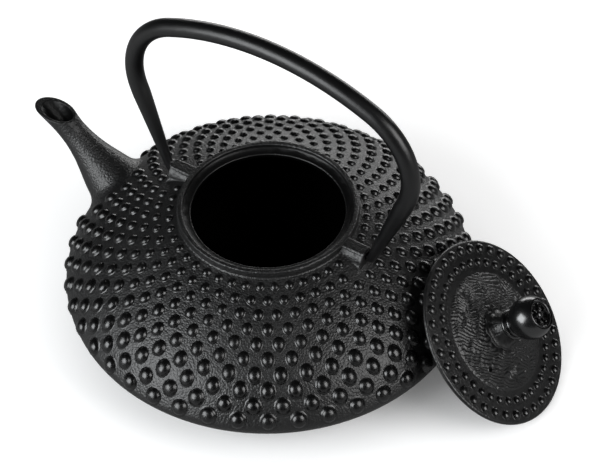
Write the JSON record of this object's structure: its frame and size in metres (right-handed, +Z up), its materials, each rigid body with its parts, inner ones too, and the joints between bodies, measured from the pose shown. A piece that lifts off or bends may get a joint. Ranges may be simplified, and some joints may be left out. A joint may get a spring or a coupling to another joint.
{
  "type": "cast iron teapot",
  "caption": "Wide, low cast-iron teapot with a hobnail shoulder, a straight spout, a swinging bail handle and a knobbed lid that leans on its side.",
  "frame": {"origin": "middle of the foot ring, on the surface the pot stands on", "axes": "+Z up along the pot's axis, -X towards the spout, the bail's pegs along X, the lid on the +X side"},
  "size_m": [0.286, 0.2, 0.1715],
  "materials": {
    "body_iron": "black enamelled cast iron, satin with a fine sand grain",
    "lid_iron": "black enamelled cast iron, satin, wrinkled in the middle",
    "bail_iron": "black lacquer, smooth satin",
    "knob_black": "black lacquer, gloss",
    "stud_steel": "plain steel"
  },
  "bodies": {
    "pot": {"pot_body": "body_iron", "shoulder_hobnails": "body_iron"},
    "bail": {"bail_handle": "bail_iron"},
    "lid": {"lid": "lid_iron", "knob_seat": "knob_black", "lid_knob": "knob_black", "knob_stud": "stud_steel", "stud_washer": "stud_steel"}
  },
  "joints": [
    {"name": "bail_swing", "type": "hinge", "parent": "pot", "child": "bail", "pos_m": [0, 0, 0.06803], "axis": [1, 0, 0], "range_deg": [-99, 103]},
    {"name": "lid_lift", "type": "slide", "parent": "pot", "child": "lid", "axis": [0.6746, 0.1238, 0.7278], "range_m": [0, 0.12]}
  ]
}
